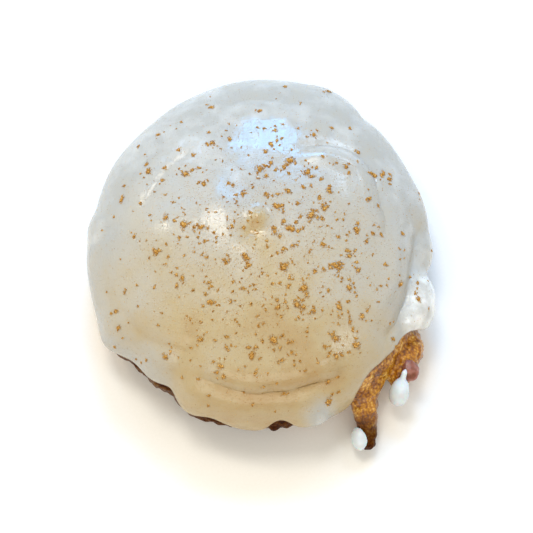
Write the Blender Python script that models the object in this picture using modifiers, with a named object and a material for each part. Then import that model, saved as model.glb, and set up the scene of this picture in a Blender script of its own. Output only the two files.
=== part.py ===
"""An iced fritter doughnut, lying on its flat underside.

A round of fried dough with a domed top, folded while raw, and a craggy foot that spreads out at one side
into an arm and a hanging tendril. A thick coat of icing covers it down to a wavy edge. A chunk of fruit
sticks out of the arm, and two drips of icing have set below the edge. Pinches of ground cinnamon lie on top.

Metres, +Z up. The origin is the middle of the flat underside. +X is right and +Y is the far side.
Each node is one closed mesh. Angles in the plan run anticlockwise from +X.
"""

import math
import random

import bmesh
import bpy
import numpy as np
from mathutils import Matrix, Vector, noise
from mathutils.bvhtree import BVHTree

MM = 0.001

# Driving sizes of the dough.
HALF_WIDTH = 50.9 * MM
HALF_DEPTH = 53.6 * MM
DOUGH_HEIGHT = 34.5 * MM
WAIST_HEIGHT = 14.0 * MM  # where the round is widest
FLAT_SINK = 5.0 * MM  # how far the full curve of the underside would reach below the flat spot
DOME_SQUARENESS = 2.3  # 2 is an ellipse, more is boxier
FOOT_SQUARENESS = 2.2

# Icing, and the clearance that touching pieces keep.
ICING_THICKNESS = 1.7 * MM
ICING_UNEVENNESS = 0.15 * MM
ICING_WAVE_LENGTH = 12.0 * MM  # from one thick place to the next
ICING_SHIFT = Vector((7, 0, 0))  # so that its thick places don't fall on the swellings of the dough
ICING_MOST = 6.0 * MM
ICING_EDGE = 0.5 * MM
BEAD_WIDTH = 3.2 * MM
GAP = 0.3 * MM

# Bumps in the plan outline: (direction, half width, height), the first two in degrees.
OUTLINE_BUMPS = (
    (-18, 5, 0.6 * MM),
    (-10, 5, -1.1 * MM),
    (5, 7, -0.5 * MM),
    (33, 19, -1.6 * MM),
    (52, 4, -0.9 * MM),
    (66, 9, 1.7 * MM),
    (128, 24, -1.9 * MM),
    (167, 12, -1.5 * MM),
    (214, 6, 1.2 * MM),
    (225, 8, -1.9 * MM),
    (240, 5, -2.4 * MM),
    (249, 5, 0.8 * MM),
    (263, 7, 0.3 * MM),
    (283, 5, 0.2 * MM),
    (290, 8, 0.8 * MM),
)
BUMP_FADE = 3  # the higher, the sooner a bump dies away towards the top and the bottom
# How far the foot of the dough spreads past the icing, in the same terms.
FOOT_SPREADS = (
    (-46, 16, 3.6 * MM),
    (215, 9, 1.8 * MM),
    (236, 26, 1.8 * MM),
    (277, 8, 2.6 * MM),
)
FOOT_TOP = 18.0 * MM
FOOT_DEPTH = 10.0 * MM

# Where the icing ends, as an angle on the dough's profile: 0 is the waist, below it is negative.
EDGE_ANGLE = -22.0
EDGE_LIFTS = (
    (-45, 15, 31.0),
    (-57, 8, 11.0),
    (-31, 7, 14.0),
    (228, 26, 22.0),
    (276, 7, 26.0),
    (70, 20, -6.0),
    (150, 9, 7.0),
)
EDGE_WAVES = ((5, 0.4, 3.0), (9, 1.9, 2.4), (16, 4.0, 1.6))  # per turn, phase, degrees of profile

# Folds of the dough that show through the icing: (points of its line, lip height, crease depth, width), all
# in millimetres. The upper layer, with the lip, lies on the left of the line.
FOLDS = (
    (((-21.5, -41.5), (-13, -45), (-6.5, -47.5), (1, -48), (12, -46), (20, -44), (27.5, -40)), 1.0, 1.0, 2.8),
    (((47, 10), (48, 1), (47, -7.5), (45, -17), (42, -25), (37.5, -31.5), (33, -37)), 1.3, 2.8, 3.2),
    (((35.5, -7), (36.5, 2), (34, 9), (33, 17), (29.5, 22), (22, 25.5), (17, 25), (9, 23)), 1.1, 0.7, 2.4),
    (((15, 38), (8.5, 41), (0.5, 42.5), (-7, 41.5), (-13, 38)), 0.3, 0.7, 3.2),
    (((-34, 4), (-32, 10.5), (-28, 17), (-22, 22.5), (-16, 26)), 0.5, 0.4, 3.0),
    (((-39.5, -21), (-38, -26), (-33, -31), (-25, -35.5), (-15, -37.5)), 0.4, 0.5, 3.0),
)
CORNER_CUTS = 2  # rounds of corner cutting that turn such a line into a curve
CORNER_SHARE = 0.25  # of a side, cut away at each of its ends
FOLD_FADE = 0.22  # share of its length over which a fold dies away at each end
LIP_OFFSET = 1.7  # from the crease to the crown of the lip, in crease widths
LIP_WIDTH = 1.3

# Soft swellings and hollows of the top: (x, y, radius, height), in millimetres.
SWELLINGS = (
    (-13.0, 3.0, 10.0, 1.0),
    (-0.2, 1.2, 3.0, 1.2),
    (-2.6, -2.8, 4.0, -0.6),
    (-28.0, -2.0, 7.0, 0.7),
    (26.0, 12.0, 10.0, 0.6),
    (-47.5, 4.5, 4.0, 0.8),
    (14.0, -28.0, 12.0, 0.6),
)
WAVE_LENGTH = 21.0 * MM
WAVE_HEIGHT = 0.35 * MM
RELIEF_FOOT = 8.0 * MM  # the relief of the top dies away down the side, between these heights
RELIEF_HEAD = 14.0 * MM

# Places where icing has pooled thick: (x, y, z, radius, extra thickness), in millimetres.
POOLS = (
    (47.5, -22.0, 14.0, 7.0, 2.6),
    (16.8, -54.0, 15.0, 3.4, 2.0),
)

# Crags of the bare crust.
CRAG_LENGTH = 6.5 * MM
CRAG_HEIGHT = 1.0 * MM
KNOB_SWING = 2.0  # of the large knobs, in crag heights
KNOB_SINK = 0.4  # how far the valleys lie below the smooth form, in crag heights
FINE_CRAG_LENGTH = 0.45 * CRAG_LENGTH
FINE_CRAG_SHARE = 0.5
LIMB_CRAG_SHARE = 0.7
LOWEST_CRAG = 0.4 * MM

# Mesh fineness.
CAP_STEPS = 35
SIDE_ROWS = 6
CROWDING = 1.25  # rings of the cap crowd towards the icing's edge
SKIN_SAMPLES = 721
LIMB_SIDES = 12
LIMB_STEPS = 3  # rings of a limb's skin between two points of its middle line
BALL_SEGMENTS = 16
BALL_RINGS = 10
DRIP_RINGS = 13
SAME_POINT = 0.01 * MM
SAME_CUT_POINT = 0.001 * MM  # in a finished solid, whose cuts have finer edges
TINY = 1e-6

# The limbs of dough that grow from the foot, an arm that hangs down beside the icing and a longer tendril.
# Each is its middle line and its half thickness there, (x, y, z, half thickness), in millimetres.
ARM = (
    (43.4, -21.5, 5.0, 2.6),
    (46.8, -27.5, 7.4, 3.7),
    (43.8, -33.5, 9.2, 4.6),
    (42.2, -36.5, 7.6, 4.7),
    (41.9, -39.2, 6.2, 4.1),
    (41.9, -41.0, 5.6, 2.2),
)
TENDRIL = (
    (33.0, -30.0, 9.5, 4.5),
    (35.6, -35.6, 9.0, 4.4),
    (33.0, -39.6, 8.6, 4.5),
    (31.3, -43.6, 8.0, 4.5),
    (31.4, -46.8, 7.0, 4.3),
    (31.8, -49.7, 6.2, 3.8),
    (32.0, -52.6, 5.2, 3.5),
    (32.2, -55.8, 4.5, 3.3),
    (32.2, -58.3, 4.2, 2.8),
    (32.2, -59.8, 4.2, 1.2),
)

# The fruit chunk, the hanging drip and the drip on the tendril.
CHUNK_AT = Vector((44.3, -36.8, 11.0)) * MM
CHUNK_HALF_SIZE = Vector((2.9, 4.3, 2.7)) * MM
CHUNK_TURN = 20.0
CHUNK_TAPER = (0.35, 0.15)  # how much narrower and lower its upper end is than its middle
DRIP_NECK = Vector((43.4, -38.0, 14.4)) * MM
DRIP_TIP = Vector((41.3, -46.2, 3.4)) * MM
DRIP_BEND = Vector((-0.5, -1.1, 1.0)) * MM  # how far its middle line bows out
DRIP_RADIUS = 3.05 * MM
NECK_RADIUS = 0.85 * MM
NECK_SHARE = 0.2  # of the drip's length
NECK_ROUNDING = 0.06
BULB_LEAN = 1.1  # above 1 the bulb is fullest below its middle
TENDRIL_DRIP_AT = Vector((30.0, -56.8, 5.2)) * MM
TENDRIL_DRIP_HALF_SIZE = Vector((2.8, 3.9, 3.1)) * MM

# The main pinches of cinnamon: (x, y, radius of the largest clump), in millimetres in the plan.
PINCHES = (
    (0, 17, 1.4), (9, 20, 1.4), (14, 16, 1.2), (34, 17, 1.1), (5, 5, 1.1), (15, 2, 1.3), (9, -2, 1.3),
    (-4, -11, 1.2), (7, -14, 1.3), (22, -13, 1.2), (13, -20, 1.3), (11, -25, 1.3), (23, -25, 1.1),
    (22, -34, 1.2), (28, -35, 1.3), (4, -35, 1.4), (-2, -39, 1.2), (-11, -42, 1.1), (20, -50, 1.3),
    (-14, -24, 1.1), (-22, -1, 1.4), (-22, 16, 1.1), (-33, 18, 1.1), (-14, 26, 1.0),
)
LESSER_PINCHES = 60  # they fall by chance round the middle of the sprinkling
LESSER_SIZES = (1.05, 0.66)  # of the first and the last of them
LESSER_SPACING = 4.5  # at least this far from any other pinch
CINNAMON_SEED = 11
CLUMPS_AROUND = 2.6  # smaller clumps round the largest, for a largest clump of 1 mm
PINCH_SPREAD = 1.7  # millimetres, for the same
LARGEST_AROUND = 0.8  # of them, in radii of the largest clump
SPRINKLING = (2.0, -7.0, 24.0, 400)  # loose clumps: x, y, spread, how many
SMALLEST_CLUMP = 0.24  # radii, in millimetres
LARGEST_LOOSE_CLUMP = 0.78
CLUMP_RARITY = 1.5  # the higher, the rarer the large clumps
CLUMP_REACH = 56.0
SMALLEST_MODELLED_CLUMP = 0.84
CLUMP_SPACING = 2.7 * MM
CLUMP_SHAPE = (1.15, 0.95, 0.62)  # length, width and height in clump radii
LEAST_UPWARD = 0.4  # of the icing's normal where a clump can lie

CRUST_BROWN = (0.36, 0.15, 0.03, 1)
ICING_CREAM = (0.76, 0.67, 0.50, 1)
FRUIT_PINK = (0.42, 0.20, 0.14, 1)
DRIP_WHITE = (0.80, 0.80, 0.76, 1)


def remove_everything():
    for old in list(bpy.data.objects):
        bpy.data.objects.remove(old, do_unlink=True)


def new_collection(name):
    collection = bpy.data.collections.new(name)
    bpy.context.scene.collection.children.link(collection)
    return collection


def food_material(name, colour, roughness):
    material = bpy.data.materials.new(name)
    material.use_nodes = True
    shader = material.node_tree.nodes["Principled BSDF"]
    shader.inputs["Base Color"].default_value = colour
    shader.inputs["Roughness"].default_value = roughness
    shader.inputs["Metallic"].default_value = 0.0
    return material


def object_from(bm, name, collection, material=None):
    mesh = bpy.data.meshes.new(name)
    bm.to_mesh(mesh)
    bm.free()
    mesh.shade_smooth()
    made = bpy.data.objects.new(name, mesh)
    collection.objects.link(made)
    if material:
        mesh.materials.append(material)
    return made


def smooth_step(x):
    x = min(1.0, max(0.0, x))
    return x * x * (3 - 2 * x)


def sum_of_bumps(angle, bumps):
    """The bumps' heights added up in one direction of the plan, in radians."""
    total = 0.0
    for at, half_width, height in bumps:
        off = math.degrees(angle) - at
        off = (off + 180) % 360 - 180
        total += height * math.exp(-((off / half_width) ** 2))
    return total


def plan_ellipse(angle):
    """The dough's reach at its waist, without its bumps."""
    return 1 / math.hypot(math.cos(angle) / HALF_WIDTH, math.sin(angle) / HALF_DEPTH)


def edge_angle(angle):
    """Where the icing ends on the profile in that direction, in radians."""
    waves = sum(size * math.sin(count * angle + phase) for count, phase, size in EDGE_WAVES)
    bare = sum_of_bumps(angle, EDGE_LIFTS)
    return math.radians(EDGE_ANGLE + waves + bare)


def flat_spot_angle():
    """The profile angle at which the underside meets the ground."""
    reach = WAIST_HEIGHT / (WAIST_HEIGHT + FLAT_SINK)
    return -math.asin(reach ** (FOOT_SQUARENESS / 2))


def skin_table():
    """Angles down the profile from the top, and the length of skin from the top to each of them."""
    angles = np.linspace(math.pi / 2, -math.pi / 2, SKIN_SAMPLES)
    points = [form_point(0.0, angle) for angle in angles]
    steps = [(b - a).length for a, b in zip(points, points[1:])]
    return angles, np.concatenate(([0.0], np.cumsum(steps)))


def length_down_to(angle, skin):
    return float(np.interp(-angle, -skin[0], skin[1]))


def angle_at(length, skin):
    return float(np.interp(length, skin[1], skin[0]))


def form_point(angle, profile):
    """A point of the smooth dough: a squared oval in section, flat below, wider at the foot."""
    across, up = math.cos(profile), math.sin(profile)
    if up >= 0:
        inward = across ** (2 / DOME_SQUARENESS)
        height = WAIST_HEIGHT + (DOUGH_HEIGHT - WAIST_HEIGHT) * up ** (2 / DOME_SQUARENESS)
    else:
        inward = across ** (2 / FOOT_SQUARENESS)
        height = WAIST_HEIGHT - (WAIST_HEIGHT + FLAT_SINK) * (-up) ** (2 / FOOT_SQUARENESS)
    radius = plan_ellipse(angle) * inward + sum_of_bumps(angle, OUTLINE_BUMPS) * inward**BUMP_FADE
    spread = sum_of_bumps(angle, FOOT_SPREADS)
    radius += spread * smooth_step((FOOT_TOP - height) / FOOT_DEPTH)
    return Vector((radius * math.cos(angle), radius * math.sin(angle), max(height, 0.0)))


def rounded(line):
    """The line with its corners cut, and its ends kept."""
    for _ in range(CORNER_CUTS):
        cut = [line[0]]
        for (ax, ay), (bx, by) in zip(line, line[1:]):
            for share in (CORNER_SHARE, 1 - CORNER_SHARE):
                cut.append((ax + share * (bx - ax), ay + share * (by - ay)))
        line = cut + [line[-1]]
    return line


def off_line(x, y, line):
    """How far the point is off the line, negative on its left, and its place along it from 0 to 1."""
    best, run = None, 0.0
    for (ax, ay), (bx, by) in zip(line, line[1:]):
        dx, dy = bx - ax, by - ay
        length = math.hypot(dx, dy)
        share = min(1.0, max(0.0, ((x - ax) * dx + (y - ay) * dy) / length**2))
        away = math.hypot(x - ax - share * dx, y - ay - share * dy)
        if best is None or away < abs(best[0]):
            left = dx * (y - ay) - dy * (x - ax) > 0
            best = (-away if left else away, run + share * length)
        run += length
    return best[0], best[1] / run


def fold_height(point, fold):
    """A rounded lip on the left of the line and a crease along it, fading at both ends."""
    line, lip, crease, width = fold
    off, along = off_line(point.x / MM, point.y / MM, rounded(line))
    fade = smooth_step(min(along, 1 - along) / FOLD_FADE)
    off /= width
    groove = -crease * math.exp(-(off**2))
    swell = lip * math.exp(-(((off + LIP_OFFSET) / LIP_WIDTH) ** 2))
    return fade * (groove + swell) * MM


def swelling_height(point):
    total = 0.0
    for x, y, radius, height in SWELLINGS:
        off = math.hypot(point.x / MM - x, point.y / MM - y) / radius
        total += height * math.exp(-off * off) * MM
    return total


def top_relief(point):
    """How far the folded top stands out of the smooth form."""
    waves = WAVE_HEIGHT * noise.noise(point / WAVE_LENGTH)
    fade = smooth_step((point.z - RELIEF_FOOT) / (RELIEF_HEAD - RELIEF_FOOT))
    return fade * (waves + swelling_height(point) + sum(fold_height(point, f) for f in FOLDS))


def crag_relief(point):
    """Crags of the bare crust: rounded knobs with sharp valleys between them."""
    knobs = abs(noise.noise(point / CRAG_LENGTH)) * KNOB_SWING - KNOB_SINK
    fine = noise.noise(point / FINE_CRAG_LENGTH) * FINE_CRAG_SHARE
    return CRAG_HEIGHT * (knobs + fine)


def on_disc(square_point):
    """The concentric map from the square to the disc: rows of the square become rings."""
    x, y = square_point.x, square_point.y
    if x == y == 0:
        return 0.0, 0.0
    if abs(x) > abs(y):
        reach, angle = x, math.pi / 4 * y / x
    else:
        reach, angle = y, math.pi / 2 - math.pi / 4 * x / y
    if reach < 0:
        reach, angle = -reach, angle + math.pi
    return reach, angle


def dough_mesh():
    """The dough, and how much skin each vertex of the cap has between it and the icing's edge."""
    bm = bmesh.new()
    bmesh.ops.create_grid(bm, x_segments=CAP_STEPS, y_segments=CAP_STEPS, size=1)
    bm.verts.ensure_lookup_table()
    from_edge = []
    skin = skin_table()
    for vertex in bm.verts:
        reach, angle = on_disc(vertex.co)
        whole = length_down_to(edge_angle(angle), skin)
        left = whole * (1 - reach) ** CROWDING
        vertex.co = form_point(angle, angle_at(whole - left, skin))
        from_edge.append(left)

    side_of = {}
    rim = [e for e in bm.edges if e.is_boundary]
    lowest = length_down_to(flat_spot_angle(), skin)
    for row in range(1, SIDE_ROWS + 1):
        grown = bmesh.ops.extrude_edge_only(bm, edges=rim)["geom"]
        fresh = [g for g in grown if isinstance(g, bmesh.types.BMVert)]
        for vertex in fresh:
            angle = math.atan2(vertex.co.y, vertex.co.x)
            start = length_down_to(edge_angle(angle), skin)
            length = start + (lowest - start) * row / SIDE_ROWS
            vertex.co = form_point(angle, angle_at(length, skin))
            side_of[vertex] = row
        rim = [g for g in grown if isinstance(g, bmesh.types.BMEdge) and g.is_boundary]
    bmesh.ops.contextual_create(bm, geom=rim)
    bmesh.ops.recalc_face_normals(bm, faces=bm.faces)
    bm.normal_update()

    moved = {}
    for vertex in bm.verts:
        out = top_relief(vertex.co)
        row = side_of.get(vertex, 0)
        if 0 < row < SIDE_ROWS:
            out += crag_relief(vertex.co)
        if row < SIDE_ROWS:
            moved[vertex] = vertex.co + vertex.normal * out
    for vertex, place in moved.items():
        place.z = max(place.z, LOWEST_CRAG)
        vertex.co = place
    bm.normal_update()
    return bm, from_edge


def icing_thickness(point, from_edge):
    """Even over the top, thicker where it pooled, and rounded off to a thin lip at the edge."""
    thickness = ICING_THICKNESS
    thickness += ICING_UNEVENNESS * noise.noise(point / ICING_WAVE_LENGTH + ICING_SHIFT)
    for x, y, z, radius, extra in POOLS:
        off = (point / MM - Vector((x, y, z))).length / radius
        thickness += extra * MM * math.exp(-off * off)
    inward = min(1.0, from_edge / BEAD_WIDTH)
    return ICING_EDGE + (thickness - ICING_EDGE) * math.sqrt(1 - (1 - inward) ** 2)


def icing_object(dough_bm, from_edge, collection, material):
    """The dough's skin above the edge, lifted clear of it and thickened outwards."""
    bm = dough_bm.copy()
    bm.verts.ensure_lookup_table()
    lifts = [bm.verts[i].normal * GAP for i in range(len(from_edge))]
    bmesh.ops.delete(bm, geom=bm.verts[len(from_edge):], context="VERTS")
    weights = []
    for vertex, lift, left in zip(bm.verts, lifts, from_edge):
        weights.append(icing_thickness(vertex.co, left) / ICING_MOST)
        vertex.co = vertex.co + lift
    made = object_from(bm, "icing", collection, material)
    group = made.vertex_groups.new(name="thickness")
    for index, weight in enumerate(weights):
        group.add([index], min(1.0, weight), "REPLACE")
    shell = made.modifiers.new("coat", "SOLIDIFY")
    shell.thickness = ICING_MOST
    shell.offset = 1.0
    shell.vertex_group = group.name
    return made


def applied(made):
    """The object with its modifiers made part of its mesh."""
    graph = bpy.context.evaluated_depsgraph_get()
    graph.update()
    mesh = bpy.data.meshes.new_from_object(made.evaluated_get(graph))
    made.modifiers.clear()
    made.vertex_groups.clear()
    made.data = mesh
    return made


def without_scraps(made):
    """Only the largest of the mesh's separate pieces."""
    bm = bmesh.new()
    bm.from_mesh(made.data)
    left, pieces = set(bm.verts), []
    while left:
        piece, edge = set(), [left.pop()]
        while edge:
            vertex = edge.pop()
            piece.add(vertex)
            near = {e.other_vert(vertex) for e in vertex.link_edges} & left
            left -= near
            edge.extend(near)
        pieces.append(piece)
    pieces.sort(key=len)
    for scrap in pieces[:-1]:
        bmesh.ops.delete(bm, geom=list(scrap), context="VERTS")
    bm.to_mesh(made.data)
    bm.free()
    return made


def combine(made, others, operation):
    """Joins or cuts with every object of the collection at once, then removes them."""
    boolean = made.modifiers.new("boolean", "BOOLEAN")
    boolean.operation = operation
    boolean.operand_type = "COLLECTION"
    boolean.collection = others
    boolean.solver = "EXACT"
    applied(made)
    for other in list(others.objects):
        bpy.data.objects.remove(other, do_unlink=True)
    bpy.data.collections.remove(others)
    return without_scraps(made)


def limb_object(name, line, collection):
    """A tapering tube of dough along the limb's line, with crags of its own."""
    curve = bpy.data.curves.new(name, "CURVE")
    curve.dimensions = "3D"
    curve.bevel_depth = MM
    curve.bevel_resolution = LIMB_SIDES // 4
    curve.use_fill_caps = True
    spline = curve.splines.new("NURBS")
    spline.points.add(len(line) - 1)
    for point, (x, y, z, half) in zip(spline.points, line):
        point.co = (x * MM, y * MM, z * MM, 1)
        point.radius = half
    spline.use_endpoint_u = True
    spline.order_u = 3
    spline.resolution_u = LIMB_STEPS
    tube = bpy.data.objects.new(name, curve)
    collection.objects.link(tube)
    graph = bpy.context.evaluated_depsgraph_get()
    graph.update()
    mesh = bpy.data.meshes.new_from_object(tube.evaluated_get(graph))
    bpy.data.objects.remove(tube, do_unlink=True)
    bm = bmesh.new()
    bm.from_mesh(mesh)
    bmesh.ops.remove_doubles(bm, verts=bm.verts, dist=SAME_POINT)
    bmesh.ops.recalc_face_normals(bm, faces=bm.faces)
    bm.normal_update()
    moved = [v.co + v.normal * LIMB_CRAG_SHARE * crag_relief(v.co) for v in bm.verts]
    for vertex, place in zip(bm.verts, moved):
        place.z = max(place.z, LOWEST_CRAG)
        vertex.co = place
    return object_from(bm, name, collection)


def inflated(made, by, collection):
    """A copy pushed outwards, to cut a clearance with."""
    bm = bmesh.new()
    bm.from_mesh(made.data)
    bmesh.ops.remove_doubles(bm, verts=bm.verts, dist=SAME_CUT_POINT)
    bm.normal_update()
    moved = [v.co + v.normal * by for v in bm.verts]
    for vertex, place in zip(bm.verts, moved):
        vertex.co = place
    return object_from(bm, made.name + "_cutter", collection)


def cut_clear_of(made, neighbours):
    """Cuts the object back so that it keeps the clearance to its neighbours."""
    cutters = new_collection("cutters")
    for neighbour in neighbours:
        inflated(neighbour, GAP, cutters)
    return combine(made, cutters, "DIFFERENCE")


def ellipsoid(name, at, half_size, collection, material):
    bm = bmesh.new()
    bmesh.ops.create_uvsphere(bm, u_segments=BALL_SEGMENTS, v_segments=BALL_RINGS, radius=1.0)
    bmesh.ops.scale(bm, vec=half_size, verts=bm.verts)
    bmesh.ops.translate(bm, vec=at, verts=bm.verts)
    return object_from(bm, name, collection, material)


def fruit_chunk(dough, collection, material):
    """A rounded wedge of fruit, narrower at its upper end, set against the arm."""
    chunk = ellipsoid("fruit_chunk", Vector(), CHUNK_HALF_SIZE, collection, material)
    for vertex in chunk.data.vertices:
        along = vertex.co.y / CHUNK_HALF_SIZE.y
        vertex.co.x *= 1 - CHUNK_TAPER[0] * along
        vertex.co.z *= 1 - CHUNK_TAPER[1] * along
    chunk.data.transform(Matrix.Translation(CHUNK_AT) @ Matrix.Rotation(math.radians(CHUNK_TURN), 4, "Z"))
    return cut_clear_of(chunk, [dough])


def teardrop_radius(share):
    """The drip's radius along its length: a thin neck, then a full bulb with a round end."""
    neck = NECK_RADIUS * min(1.0, (share / NECK_ROUNDING) ** 0.5)
    if share < NECK_SHARE:
        return neck
    along = (share - NECK_SHARE) / (1 - NECK_SHARE)
    bulb = DRIP_RADIUS * math.sqrt(max(0.0, 1 - (2 * along**BULB_LEAN - 1) ** 2))
    return max(bulb, neck * (1 - along))


def hanging_drip(neighbours, collection, material):
    """A teardrop turned about its own axis, from its neck on the fruit down to its tip."""
    axis = DRIP_TIP - DRIP_NECK
    turn = Vector((0, 0, -1)).rotation_difference(axis).to_matrix()
    bm = bmesh.new()
    bmesh.ops.create_uvsphere(bm, u_segments=BALL_SEGMENTS, v_segments=DRIP_RINGS, radius=1.0)
    for vertex in bm.verts:
        share = math.acos(max(-1.0, min(1.0, vertex.co.z))) / math.pi
        flat = Vector((vertex.co.x, vertex.co.y, 0))
        across = flat.normalized() * teardrop_radius(share) if flat.length > TINY else Vector()
        bow = DRIP_BEND * 4 * share * (1 - share)
        vertex.co = DRIP_NECK + axis * share + bow + turn @ across
    drip = object_from(bm, "icing_drip", collection, material)
    return cut_clear_of(drip, neighbours)


def all_pinches(draw):
    """The main pinches, then the lesser ones, ever smaller and evenly spread."""
    x, y, spread, _ = SPRINKLING
    first, last = LESSER_SIZES
    pinches = list(PINCHES)
    while len(pinches) < len(PINCHES) + LESSER_PINCHES:
        place = (draw.gauss(x, spread), draw.gauss(y, spread))
        if all(math.dist(place, other[:2]) > LESSER_SPACING for other in pinches):
            share = (len(pinches) - len(PINCHES)) / LESSER_PINCHES
            pinches.append((*place, first + (last - first) * share))
    return pinches


def cinnamon_clumps():
    """Every clump as (x, y, radius, turn), in millimetres and radians, largest first."""
    draw = random.Random(CINNAMON_SEED)
    clumps = []

    def drop(x, y, spread, largest):
        size = SMALLEST_CLUMP + (largest - SMALLEST_CLUMP) * draw.random() ** CLUMP_RARITY
        clumps.append((draw.gauss(x, spread), draw.gauss(y, spread), size, draw.uniform(0, math.pi)))

    for x, y, largest in all_pinches(draw):
        clumps.append((x, y, largest, draw.uniform(0, math.pi)))
        for _ in range(round(CLUMPS_AROUND * largest**2)):
            drop(x, y, PINCH_SPREAD * largest, LARGEST_AROUND * largest)
    x, y, spread, count = SPRINKLING
    for _ in range(count):
        drop(x, y, spread, LARGEST_LOOSE_CLUMP)
    clumps = [clump for clump in clumps if math.hypot(clump[0], clump[1]) < CLUMP_REACH]
    return sorted(clumps, key=lambda clump: -clump[2])


def add_clumps(icing):
    """Fuses the larger clumps to the icing as low faceted heaps."""
    bm = bmesh.new()
    bm.from_mesh(icing.data)
    tree = BVHTree.FromBMesh(bm)
    bm.free()
    heaps = new_collection("heaps")
    placed = []
    for x, y, size, turn in cinnamon_clumps():
        if size < SMALLEST_MODELLED_CLUMP:
            break
        hit, normal, _, _ = tree.ray_cast(Vector((x * MM, y * MM, 2 * DOUGH_HEIGHT)), Vector((0, 0, -1)))
        if hit is None or normal.z < LEAST_UPWARD or any((hit - p).length < CLUMP_SPACING for p in placed):
            continue
        placed.append(hit)
        heap = bmesh.new()
        bmesh.ops.create_icosphere(heap, subdivisions=1, radius=size * MM)
        bmesh.ops.scale(heap, vec=CLUMP_SHAPE, verts=heap.verts)
        lean = Vector((0, 0, 1)).rotation_difference(normal).to_matrix().to_4x4()
        place = Matrix.Translation(hit) @ lean @ Matrix.Rotation(turn, 4, "Z")
        bmesh.ops.transform(heap, matrix=place, verts=heap.verts)
        object_from(heap, f"heap_{len(placed)}", heaps)
    print("modelled cinnamon heaps:", len(placed))
    return combine(icing, heaps, "UNION")


def build():
    remove_everything()
    parts = new_collection("iced_fritter")
    crust = food_material("fried_crust", CRUST_BROWN, 0.45)
    cream = food_material("sugar_icing", ICING_CREAM, 0.3)
    pink = food_material("cooked_fruit", FRUIT_PINK, 0.4)
    white = food_material("set_drip", DRIP_WHITE, 0.3)

    dough_bm, from_edge = dough_mesh()
    icing = applied(icing_object(dough_bm, from_edge, parts, cream))
    dough = object_from(dough_bm, "dough", parts, crust)
    limbs = new_collection("limbs")
    limb_object("arm", ARM, limbs)
    limb_object("tendril", TENDRIL, limbs)
    combine(dough, limbs, "UNION")
    add_clumps(icing)

    chunk = fruit_chunk(dough, parts, pink)
    hanging_drip([dough, chunk], parts, white)
    blob = ellipsoid("tendril_drip", TENDRIL_DRIP_AT, TENDRIL_DRIP_HALF_SIZE, parts, white)
    cut_clear_of(blob, [dough])


build()
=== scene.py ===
# %% [markdown]
# # An iced fritter doughnut
#
# The object is a round of fried dough under a thick coat of sugar icing, with ground cinnamon shaken over it.
# At one side the crust shows: an arm with a chunk of fruit in it, and a tendril that hangs below the icing.
# A measured solid model of it already exists. It is loaded first, and every piece made here stands where
# its solid stands, so that both tell the same story about size and place.

import math
import random

import bmesh
import bpy
import numpy as np
from mathutils import Matrix, Vector, noise
from mathutils.bvhtree import BVHTree


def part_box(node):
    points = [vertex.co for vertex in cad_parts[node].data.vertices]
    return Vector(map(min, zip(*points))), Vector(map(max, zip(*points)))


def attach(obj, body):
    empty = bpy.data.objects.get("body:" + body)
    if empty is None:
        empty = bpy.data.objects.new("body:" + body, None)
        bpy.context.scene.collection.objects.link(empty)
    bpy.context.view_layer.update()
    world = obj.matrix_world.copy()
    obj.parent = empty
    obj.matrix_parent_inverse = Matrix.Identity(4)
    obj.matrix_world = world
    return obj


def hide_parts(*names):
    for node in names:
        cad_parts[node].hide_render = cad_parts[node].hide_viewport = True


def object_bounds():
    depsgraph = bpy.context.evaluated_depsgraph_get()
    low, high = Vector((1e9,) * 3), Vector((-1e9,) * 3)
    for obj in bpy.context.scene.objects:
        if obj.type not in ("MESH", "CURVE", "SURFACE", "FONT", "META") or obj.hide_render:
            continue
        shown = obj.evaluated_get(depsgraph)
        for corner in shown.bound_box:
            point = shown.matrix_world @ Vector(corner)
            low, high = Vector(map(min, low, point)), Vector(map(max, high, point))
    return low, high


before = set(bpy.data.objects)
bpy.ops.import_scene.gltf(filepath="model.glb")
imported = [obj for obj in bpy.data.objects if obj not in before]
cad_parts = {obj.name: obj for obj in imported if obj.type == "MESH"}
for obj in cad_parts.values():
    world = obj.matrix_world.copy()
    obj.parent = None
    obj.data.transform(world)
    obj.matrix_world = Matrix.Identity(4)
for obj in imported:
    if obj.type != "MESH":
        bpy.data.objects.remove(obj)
cad_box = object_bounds()
MM = 0.001
print("box of the solids, mm:", [[round(v / MM, 1) for v in corner] for corner in cad_box])

# %% [markdown]
# ## Colours and nodes
#
# Bakers and painters name colours as they look on a screen, so every colour here is an sRGB hex value. A
# shader works with linear light instead. One function makes the change, so no colour is ever converted
# twice. A second function adds a shader node with its settings and its links in one go, which keeps each
# material short enough to read from top to bottom.


# %% Turn hex colours into linear light
def linear(hex_colour):
    """An sRGB hex colour as the linear red, green, blue and alpha that shaders work in."""
    channels = [int(hex_colour[i : i + 2], 16) / 255 for i in (1, 3, 5)]
    light = [c / 12.92 if c <= 0.04045 else ((c + 0.055) / 1.055) ** 2.4 for c in channels]
    return (*light, 1.0)


print("mid grey #808080 is", round(linear("#808080")[0], 3), "of full light")


# %% Add a node with its settings and links
def add_node(tree, kind, settings=None, links=None, stops=None):
    """A new node. A key of settings is a socket's name or number, or one of the node's own properties."""
    node = tree.nodes.new(kind)
    for key, value in (settings or {}).items():
        if isinstance(key, int) or key in node.inputs:
            node.inputs[key].default_value = value
        else:
            setattr(node, key, value)
    for key, source in (links or {}).items():
        tree.links.new(source, node.inputs[key])
    if stops:
        ramp = node.color_ramp
        ramp.elements[0].position, ramp.elements[0].color = stops[0]
        ramp.elements[1].position, ramp.elements[1].color = stops[-1]
        for position, colour in stops[1:-1]:
            ramp.elements.new(position).color = colour
    return node


def per_size(millimetres):
    """The texture scale that gives a pattern of that real size, since the model is in metres."""
    return 1 / (millimetres * MM)


print("a 2 mm pattern has scale", per_size(2))

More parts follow.
